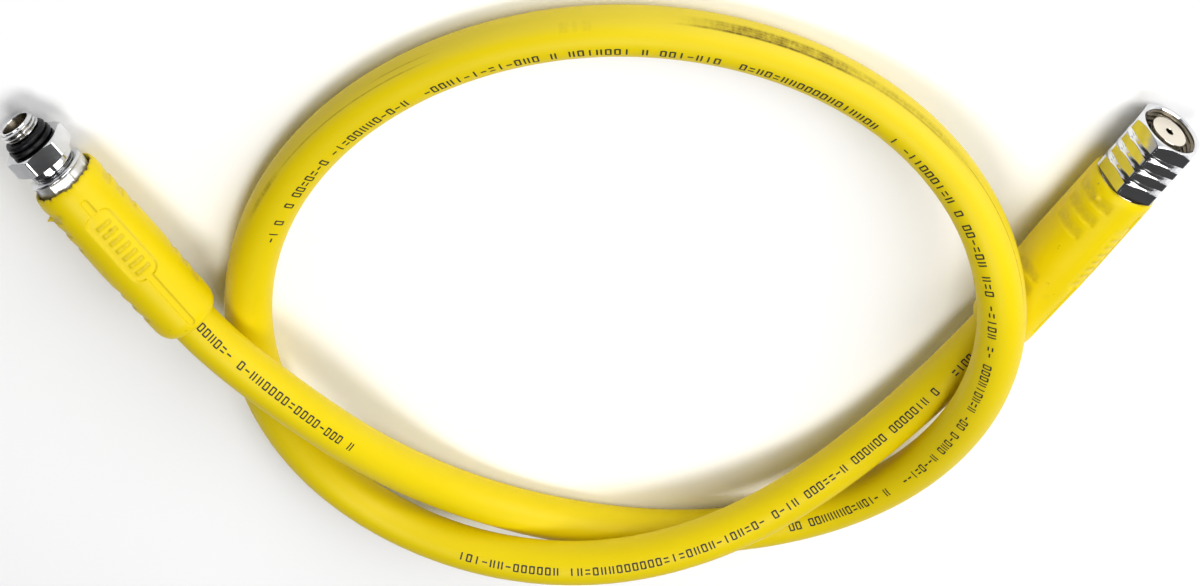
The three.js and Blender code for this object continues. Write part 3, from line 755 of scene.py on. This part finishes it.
# %% Sleeve recesses
FINGER_DEPTH = 0.45
FINGER_WIDTH = 3.6
FINGER_CENTRE = 95.0
FINGERS = [(3.7, 75.0), (8.5, 64.0), (13.3, 53.0), (29.5, 44.0), (33.8, 54.0), (38.2, 64.0)]
RIBS = [12.4 + 2.5 * i for i in range(7)]
RIB_WIDTH, RIB_HALF_LENGTH, RIB_HEIGHT = 1.1, 2.1, 0.28


def recess_depth(s, angle):
    """How far the moulding is sunk at a distance s and an angle in degrees from the panel."""
    across = np.radians(angle) * SKIN_RADIUS
    panel = soft_step(panel_half_width(s) - np.abs(across), 0.0, 0.45)
    depth = PANEL_DEPTH * np.where(np.abs(angle) < 60.0, panel, 0.0)
    for first in RIBS:
        rib = soft_step(s, first, 0.6) * (1.0 - soft_step(s, first + RIB_WIDTH, 0.6))
        depth = depth - RIB_HEIGHT * rib * (1.0 - soft_step(np.abs(across), RIB_HALF_LENGTH, 0.6))
    for first, span in FINGERS:
        # Each recess slopes down towards the tail and ends at a lip, like a fish's scale.
        slope = np.clip((s - first) / FINGER_WIDTH, 0.0, 1.0)
        hollow = slope * (1.0 - soft_step(s, first + FINGER_WIDTH - 0.2, 0.8))
        beyond = np.abs(np.abs(angle) - FINGER_CENTRE) - span / 2
        depth = np.maximum(depth, FINGER_DEPTH * hollow * (1.0 - soft_step(beyond, 0.0, 11.0)))
    return depth


def near(s, angle, place, turn, size):
    """1 at a spot on the sleeve, falling to 0 over its size in millimetres."""
    return np.exp(-((s - place) ** 2 + (np.radians(angle - turn) * SKIN_RADIUS) ** 2) / size**2)


# %% Both sleeves
def sleeve(name, end, length, ferrule_end, panel_roll, shift, stretch, ragged_size, seed, nubs, spots):
    """nubs are (place, angle, size, height) and spots (place, angle, size, strength)."""
    turn = np.arange(SLEEVE_SIDES) * 2 * math.pi / SLEEVE_SIDES
    s = (length * np.linspace(0.0, 1.0, SLEEVE_RINGS))[:, None]
    from_panel = math.pi / 2 - math.radians(panel_roll) - turn
    angle = np.degrees((from_panel + math.pi) % (2 * math.pi) - math.pi)
    depth = recess_depth((s - shift) / stretch, angle)
    outer = sleeve_radius(s, length) - depth
    for place, at, size, height in nubs:
        outer = outer + height * near(s, angle, place, at, size)
    # The torn rim: waves of random height push the mouth back, and fade out behind it.
    rough = np.random.default_rng(seed)
    wave = sum(rough.normal(0.0, 0.3) * np.cos(k * turn + rough.uniform(0, 6.3)) for k in range(5, 36))
    nick = ragged_size * np.clip(wave, 0.0, 1.5)
    # The bore is wide over the ferrule and then narrows onto the hose.
    wide_end = ferrule_end - SLEEVE_START + 0.6
    bore = np.array([(6.3, length), (6.3, wide_end + 1.3), (7.55, wide_end), (7.55, 1.6), (7.65, 0.25)])
    inner_radius = bore[:, :1] + 0.0 * turn
    inner_station = bore[:, 1:] + 0.0 * turn
    inner_station[-1] += nick
    radius = np.concatenate([outer, inner_radius])
    station = np.concatenate([s + np.clip(1.0 - s / 1.4, 0.0, 1.0) * nick, inner_station])
    points = place_rings(end, radius, SLEEVE_START + station, turn)
    piece = ring_mesh(name, points, sharp_degrees=60.0)
    # Spots of real dirt; painted shade is added to them below.
    dirt_and_shade = sum(strength * near(s, angle, place, at, size) for place, at, size, strength in spots)
    # Painted shade: a darker ring round the mouth's rim, beside the metal.
    edge = 0.3 * np.exp(-((s / 0.25) ** 2))
    # Painted shade: the walls of the recesses are darkened, most halfway down, where shade falls.
    sunk = np.clip(depth / PANEL_DEPTH, 0.0, 1.0)
    wall_shade = sunk * (1.0 - sunk)
    painted_shade_and_dirt = np.maximum(np.maximum(dirt_and_shade, edge), wall_shade)
    # The inside of the bore is darkened too, as painted shade.
    store(piece, "dirt_and_shade", np.concatenate([painted_shade_and_dirt, np.full_like(inner_radius, 0.85)]))
    return piece


first_sleeve = sleeve(
    "first_sleeve", FIRST_END, 49.6, 33.4, panel_roll=30.0, shift=0.0, stretch=1.0,
    ragged_size=0.28, seed=3,
    nubs=[(6.3, -91.0, 0.42, 1.5), (6.9, -93.0, 0.35, 0.9)],
    spots=[
        (5.3, -50.0, 0.9, 0.35), (5.6, -62.0, 1.1, 0.5), (5.9, -73.0, 0.9, 0.4),
        (24.5, -62.0, 0.7, 0.2),
    ],
)
second_sleeve = sleeve(
    "second_sleeve", SECOND_END, 55.4, 37.0, panel_roll=38.0, shift=-1.2, stretch=1.055,
    ragged_size=0.0, seed=8,
    nubs=[(4.2, -87.0, 0.75, 0.75)],
    spots=[(1.5, -101.0, 0.25, 0.9), (2.0, -92.0, 0.12, 0.5), (35.0, -40.0, 0.8, 0.15)],
)
print("sleeves:", len(first_sleeve.data.polygons), "faces each")

# %% [markdown]
# ## Finishes
#
# Every finish reads Object coordinates or a number kept on the mesh, so it stays put when the
# part turns. Two effects are node groups with named sockets: a fine mottled grain, which hose,
# sleeves and seals share at different sizes, and the small scratches of handled metal.

# %% Helper: shader trees


class ShaderNodes(Nodes):
    """The wrapper for a material's or a group's nodes."""

    def spread(self, value, low, high, to_low=0.0, to_high=1.0, kind="LINEAR"):
        """Maps low to to_low and high to to_high, and holds the value there beyond them."""
        return self.add(
            "ShaderNodeMapRange",
            {"Value": value, "From Min": low, "From Max": high, "To Min": to_low, "To Max": to_high},
            interpolation_type=kind,
        ).outputs[0]

    def band(self, value, low, high, softness):
        """1 where the value lies between low and high, with soft edges."""
        rise = self.spread(value, low - softness, low + softness, kind="SMOOTHSTEP")
        fall = self.spread(value, high + softness, high - softness, kind="SMOOTHSTEP")
        return self.times(rise, fall)

    def mix(self, factor, first, second):
        return self.add("ShaderNodeMix", {0: factor, 6: first, 7: second}, data_type="RGBA").outputs[2]

    def noise(self, vector, scale, detail, roughness):
        return self.add(
            "ShaderNodeTexNoise",
            {"Vector": vector, "Scale": scale, "Detail": detail, "Roughness": roughness},
        ).outputs["Fac"]

    def bump(self, height, strength, distance):
        settings = {"Height": height, "Strength": strength, "Distance": distance}
        return self.add("ShaderNodeBump", settings).outputs[0]

    def attribute(self, name):
        """The number that store() kept on the mesh, or 0 where there is none."""
        node = self.add("ShaderNodeAttribute", attribute_name=name, attribute_type="GEOMETRY")
        return node.outputs["Fac"]

    def use(self, tree, coordinates, sizes):
        """Puts a group into the material and returns its outputs."""
        inputs = {"Vector": coordinates, **sizes}
        return self.add("ShaderNodeGroup", inputs, node_tree=tree).outputs

    def connect(self, shader, **sockets):
        """Links or sets a shader's sockets, with an underscore for each space in a name."""
        for name, source in sockets.items():
            self.link(source, shader.inputs[name.replace("_", " ")])


def group(name, sizes, outputs):
    """A new shader group that takes a vector and some sizes, and the wrapper for its nodes."""
    tree = bpy.data.node_groups.new(name, "ShaderNodeTree")
    tree.interface.new_socket("Vector", in_out="INPUT", socket_type="NodeSocketVector")
    for socket, default in sizes.items():
        made = tree.interface.new_socket(socket, in_out="INPUT", socket_type="NodeSocketFloat")
        made.default_value = default
    for socket in outputs:
        tree.interface.new_socket(socket, in_out="OUTPUT", socket_type="NodeSocketFloat")
    nodes = ShaderNodes(tree)
    return tree, nodes, nodes.add("NodeGroupInput").outputs, nodes.add("NodeGroupOutput").inputs


def start_material(material):
    """Clears a material's nodes and returns the wrapper, its shader and Object coordinates."""
    material.use_nodes = True
    material.node_tree.nodes.clear()
    nodes = ShaderNodes(material.node_tree)
    shader = nodes.add("ShaderNodeBsdfPrincipled")
    nodes.add("ShaderNodeOutputMaterial", {"Surface": shader.outputs[0]})
    return nodes, shader, nodes.add("ShaderNodeTexCoord").outputs["Object"]


# %% Group: mottled grain
grain_group, nodes, given, results = group(
    "mottled_grain", {"Mottle size": 60.0, "Grain size": 2500.0}, ["Mottle", "Grain"]
)
nodes.link(nodes.noise(given["Vector"], given["Mottle size"], 4.0, 0.55), results["Mottle"])
nodes.link(nodes.noise(given["Vector"], given["Grain size"], 2.0, 0.6), results["Grain"])

# %% Group: handled metal
SCRATCH_STRETCH = (0.12, 1.0, 0.25)
wear_group, nodes, given, results = group(
    "handled_metal", {"Scratch size": 900.0, "Smudge size": 120.0}, ["Scratches", "Smudges"]
)
drawn_out = nodes.add(
    "ShaderNodeVectorMath", {0: given["Vector"], 1: SCRATCH_STRETCH}, operation="MULTIPLY"
).outputs[0]
scratch = nodes.noise(drawn_out, given["Scratch size"], 5.0, 0.65)
smudge = nodes.noise(given["Vector"], given["Smudge size"], 3.0, 0.5)
nodes.link(nodes.spread(scratch, 0.35, 0.65), results["Scratches"])
nodes.link(nodes.spread(smudge, 0.4, 0.62), results["Smudges"])

# %% [markdown]
# ### Hose rubber
#
# The rubber is a plain yellow with a satin skin. What makes it a real hose is its wear: brown
# scuffs on the outside of the bend, where the braid below has printed its weave into them, and a
# few darker rubs. The scuffs lie in windows of station and angle, broken up by noise.

# %% Hose rubber
YELLOW = (0.70, 0.54, 0.0, 1.0)
DEEP_YELLOW = (0.63, 0.47, 0.0, 1.0)
PAINTED_SHEEN = (0.56, 0.47, 0.09, 1.0)
SCUFF = (0.12, 0.07, 0.006, 1.0)
nodes, shader, coordinates = start_material(hose_material)
grain = nodes.use(grain_group, coordinates, {"Mottle size": 45.0, "Grain size": 2600.0})
station = nodes.attribute("station")
angle = nodes.math("ARCTAN2", nodes.attribute("sin_around"), nodes.attribute("cos_around"))

# The braid under the rubber: two sets of strands that wind opposite ways round the hose.
BRAID_PITCH = 2.5 * MM
BRAID_STARTS = 24
climb = nodes.times(station, 2 * math.pi / BRAID_PITCH)
wind = nodes.times(angle, BRAID_STARTS)
first_set = nodes.math("SINE", nodes.plus(climb, wind))
second_set = nodes.math("SINE", nodes.math("SUBTRACT", climb, wind))
braid = nodes.times(first_set, second_set)

# Scuffs: stations in mm with their soft ends, angles from the print in degrees, and strength.
RUBBED = [
    (440, 472, 10, -101, -79, 5, 0.95),
    (404, 440, 13, -97, -79, 6, 0.5),
    (586, 598, 4, -75, -65, 4, 0.6),
    (498, 500, 0.4, -80, -56, 2, 0.12),
    (501, 502, 0.3, -80, -56, 2, 0.12),
    (503, 505, 0.4, -80, -56, 2, 0.12),
]
SCORED = [
    (438, 475, 8, -81, -75.5, 2.2, 1.0),
    (406, 440, 9, -83, -79, 2.4, 0.6),
    (366, 412, 6, -87.5, -85, 1.2, 0.55),
    (538, 582, 6, -72, -69, 1.6, 0.5),
    (536, 549, 4, -87.5, -85, 1.6, 0.45),
]


def worn_by(table):
    total = 0.0
    for first, last, ends, low, high, soft, strength in table:
        along_it = nodes.band(station, first * MM, last * MM, ends * MM)
        round_it = nodes.band(angle, math.radians(low), math.radians(high), math.radians(soft))
        part = nodes.times(along_it, round_it)
        total = nodes.plus(total, nodes.times(part, strength))
    return total


patchy = nodes.spread(nodes.noise(coordinates, 420.0, 5.0, 0.7), 0.38, 0.62, 0.35, 1.0)
woven = nodes.spread(braid, -0.4, 0.6, 0.72, 1.0)
broken = nodes.spread(nodes.noise(coordinates, 700.0, 3.0, 0.6), 0.34, 0.56, 0.6, 1.0)
rubbed = nodes.times(worn_by(RUBBED), nodes.times(patchy, woven))
scuffs = nodes.math("MAXIMUM", rubbed, nodes.times(worn_by(SCORED), broken))

# Painted sheen: the outer side of the loop is paler and greyer for a stretch, a highlight painted into
# its colour.
sheen_band = nodes.times(
    nodes.band(station, 370 * MM, 610 * MM, 40 * MM),
    nodes.band(angle, math.radians(-150), math.radians(-62), math.radians(14)),
)
mottle = nodes.spread(grain["Mottle"], 0.3, 0.7)
mottled = nodes.mix(nodes.times(mottle, 0.25), YELLOW, DEEP_YELLOW)
sheened = nodes.mix(nodes.times(sheen_band, 0.3), mottled, PAINTED_SHEEN)
coloured = nodes.mix(scuffs, sheened, SCUFF)
height = nodes.plus(nodes.times(grain["Grain"], 0.6), nodes.times(braid, 0.3))
rough = nodes.plus(0.40, nodes.times(grain["Mottle"], 0.14))
nodes.connect(
    shader, Base_Color=coloured, Specular_IOR_Level=0.2, Normal=nodes.bump(height, 0.12, 0.05 * MM),
    Roughness=nodes.plus(rough, nodes.times(scuffs, 0.2)),
)
print("hose rubber:", len(nodes.tree.nodes), "nodes")

# %% [markdown]
# ### Sleeve rubber, ink and seals
#
# The sleeves are softer and a shade warmer than the hose, with a finer grain, painted shade along the
# walls of the recesses, round the mouth's rim and inside the bore, and smudges of dirt near the mouths.
# Ink is matt black that lets a little yellow through; seals are black rubber with a slight bloom.

# %% Sleeve rubber
SLEEVE_YELLOW = (0.72, 0.55, 0.0, 1.0)
SLEEVE_SHADE = (0.65, 0.485, 0.0, 1.0)
DIRT_AND_SHADE = (0.22, 0.15, 0.06, 1.0)
nodes, shader, coordinates = start_material(sleeve_material)
grain = nodes.use(grain_group, coordinates, {"Mottle size": 70.0, "Grain size": 3200.0})
tone = nodes.times(nodes.spread(grain["Mottle"], 0.35, 0.65), 0.35)
specks = nodes.spread(nodes.noise(coordinates, 420.0, 2.0, 0.5), 0.72, 0.78)
coloured = nodes.mix(tone, SLEEVE_YELLOW, SLEEVE_SHADE)
coloured = nodes.mix(nodes.times(specks, 0.35), coloured, SCUFF)
patchy = nodes.spread(nodes.noise(coordinates, 900.0, 4.0, 0.65), 0.35, 0.6, 0.3, 1.0)
# Dirt spots and painted shade darken the yellow.
coloured = nodes.mix(nodes.times(nodes.attribute("dirt_and_shade"), patchy), coloured, DIRT_AND_SHADE)
nodes.connect(
    shader, Base_Color=coloured, Specular_IOR_Level=0.18,
    Normal=nodes.bump(grain["Grain"], 0.15, 0.04 * MM),
    Roughness=nodes.plus(0.36, nodes.times(grain["Mottle"], 0.12)),
)
print("sleeve rubber:", len(nodes.tree.nodes), "nodes")

# %% Ink
INK = (0.004, 0.004, 0.003, 1.0)
THIN_INK = (0.10, 0.08, 0.01, 1.0)
nodes, shader, coordinates = start_material(ink_material)
worn = nodes.spread(nodes.noise(coordinates, 1500.0, 3.0, 0.6), 0.3, 0.75)
nodes.connect(shader, Roughness=0.6, Base_Color=nodes.mix(nodes.times(worn, 0.15), INK, THIN_INK))

# %% Seals
SEAL_BLACK = (0.004, 0.004, 0.005, 1.0)
BLOOM = (0.02, 0.02, 0.022, 1.0)
nodes, shader, coordinates = start_material(seal_material)
grain = nodes.use(grain_group, coordinates, {"Mottle size": 400.0})
bloom = nodes.spread(grain["Mottle"], 0.4, 0.75)
nodes.connect(
    shader, Specular_IOR_Level=0.15, Normal=nodes.bump(grain["Grain"], 0.1, 0.03 * MM),
    Roughness=nodes.plus(0.28, nodes.times(bloom, 0.2)),
    Base_Color=nodes.mix(nodes.times(bloom, 0.5), SEAL_BLACK, BLOOM),
)

# %% [markdown]
# ### Chrome
#
# Plated brass: nearly a mirror, with hairline scratches that break up the reflections, and smudges of
# handling. In the fitting's bore it is dull and dark brown, partly from thin plating and partly as
# painted shade; inside the nut, in the fitting's thread roots and on the nut's back chamfer beside the
# sleeve the dark brown is painted shade. The stem's nose is nickel, which is warmer, and the crimped
# skin of a ferrule is rougher than the rest.

# %% Chrome
BRIGHT_PLATING = (0.74, 0.745, 0.76, 1.0)
SMUDGED_PLATING = (0.63, 0.635, 0.64, 1.0)
NICKEL = (0.72, 0.66, 0.56, 1.0)
GRIME_AND_SHADE = (0.17, 0.145, 0.105, 1.0)
nodes, shader, coordinates = start_material(chrome_material)
wear = nodes.use(wear_group, coordinates, {})
plated = nodes.mix(wear["Smudges"], BRIGHT_PLATING, SMUDGED_PLATING)
plated = nodes.mix(nodes.attribute("warm"), plated, NICKEL)
# This darkening is partly thin plating and partly painted shade.
bare_and_shade = nodes.attribute("bare_and_shade")
handled = nodes.plus(nodes.times(wear["Scratches"], 0.04), nodes.times(wear["Smudges"], 0.05))
rough = nodes.plus(nodes.plus(0.06, handled), nodes.times(bare_and_shade, 0.18))
nodes.connect(
    shader, Metallic=1.0, Normal=nodes.bump(wear["Scratches"], 0.05, 0.02 * MM),
    Roughness=nodes.plus(rough, nodes.times(nodes.attribute("brushed"), 0.34)),
    Base_Color=nodes.mix(bare_and_shade, plated, GRIME_AND_SHADE),
)
print("chrome:", len(nodes.tree.nodes), "nodes")

# %% [markdown]
# ## Who rides on what
#
# Each piece replaces its plain solid and rides on the same body. Everything but the nut is one
# body; the nut turns about the stem.

# %% Dress the model
DRESSED = [
    (hose, "hose", "hose_line", hose_material, "hose_rubber"),
    (fitting, "first_stage_fitting", "hose_line", chrome_material, "chrome"),
    (fitting_o_ring, "fitting_o_ring", "hose_line", seal_material, "seal_rubber"),
    (back_ring, "fitting_back_ring", "hose_line", seal_material, "seal_rubber"),
    (first_ferrule, "first_stage_ferrule", "hose_line", chrome_material, "chrome"),
    (first_sleeve, "first_stage_sleeve", "hose_line", sleeve_material, "sleeve_rubber"),
    (nut, "swivel_nut", "union_nut", chrome_material, "chrome"),
    (stem, "swivel_stem", "hose_line", chrome_material, "chrome"),
    (stem_o_ring, "stem_o_ring", "hose_line", seal_material, "seal_rubber"),
    (second_ferrule, "second_stage_ferrule", "hose_line", chrome_material, "chrome"),
    (second_sleeve, "second_stage_sleeve", "hose_line", sleeve_material, "sleeve_rubber"),
]
for piece, node, body, material, slot in DRESSED:
    if not piece.data.materials:
        piece.data.materials.append(material)
    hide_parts(node)
    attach(piece, body)
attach(marks, "hose_line")
print(len(DRESSED) + 1, "pieces dressed")

# %% [markdown]
# ## Floor and light
#
# A product photograph on white. The rubber shows where the light stands: its right flanks are
# bright and its left ones darker, and the sheen lies towards the lens, so one big soft box stands
# beside the lens on the right. A small one overhead draws the highlights in the nut's grooves,
# and a faint one lifts the left. Chrome shows whatever else stands around. Its faces that look up
# and away from the lens are charcoal and those that look along the floor are white, so the room
# is bright near the horizon and dark above, and somewhat brighter on the right.

# %% Floor
FLOOR_HALF = 3.0
floor_mesh = bpy.data.meshes.new("floor")
floor_corners = [(x * FLOOR_HALF, y * FLOOR_HALF, 0.0) for x, y in ((-1, -1), (1, -1), (1, 1), (-1, 1))]
floor_mesh.from_pydata(floor_corners, [], [(0, 1, 2, 3)])
floor = add_object("floor", floor_mesh)
floor.location.z = cad_box[0][2] - 0.2 * MM
floor_material = bpy.data.materials.new("pale_floor")
nodes, shader, _ = start_material(floor_material)
nodes.connect(shader, Base_Color=(0.95, 0.95, 0.95, 1.0), Roughness=0.9)
floor_mesh.materials.append(floor_material)


# %% Lights
def soft_box(name, place, size, power):
    """A rectangular lamp that looks at the middle of the hose."""
    data = bpy.data.lights.new(name, "AREA")
    data.shape = "RECTANGLE"
    data.size, data.size_y = size
    data.energy = power
    lamp = add_object(name, data)
    lamp.location = place
    lamp.rotation_euler = (-Vector(place)).to_track_quat("-Z", "Y").to_euler()


soft_box("key_light", (0.55, 0.50, 0.60), (0.8, 0.8), 9.0)
soft_box("top_light", (0.0, -0.12, 0.95), (0.45, 0.35), 4.5)
soft_box("fill_light", (-0.65, 0.55, 0.55), (0.7, 0.5), 0.4)

# %% Room
world = bpy.data.worlds.new("room")
world.use_nodes = True
room = ShaderNodes(world.node_tree)
direction = room.add("ShaderNodeTexCoord").outputs["Generated"]
towards = room.add("ShaderNodeSeparateXYZ", {0: direction}).outputs
ramp = room.add("ShaderNodeValToRGB", {"Fac": towards["Z"]})
brightness = room.spread(towards["X"], -0.8, 0.4, 0.5, 1.0)
ROOM = [(0.0, 0.92), (0.22, 0.82), (0.34, 0.14), (0.45, 0.09), (0.90, 0.07), (0.97, 0.5)]
while len(ramp.color_ramp.elements) < len(ROOM):
    ramp.color_ramp.elements.new(0.5)
for element, (place, level) in zip(ramp.color_ramp.elements, ROOM):
    element.position = place
    element.color = (level, level, level * 1.02, 1.0)
room.connect(room.tree.nodes["Background"], Color=ramp.outputs[0], Strength=brightness)
bpy.context.scene.world = world
bpy.context.scene.view_settings.view_transform = "Standard"
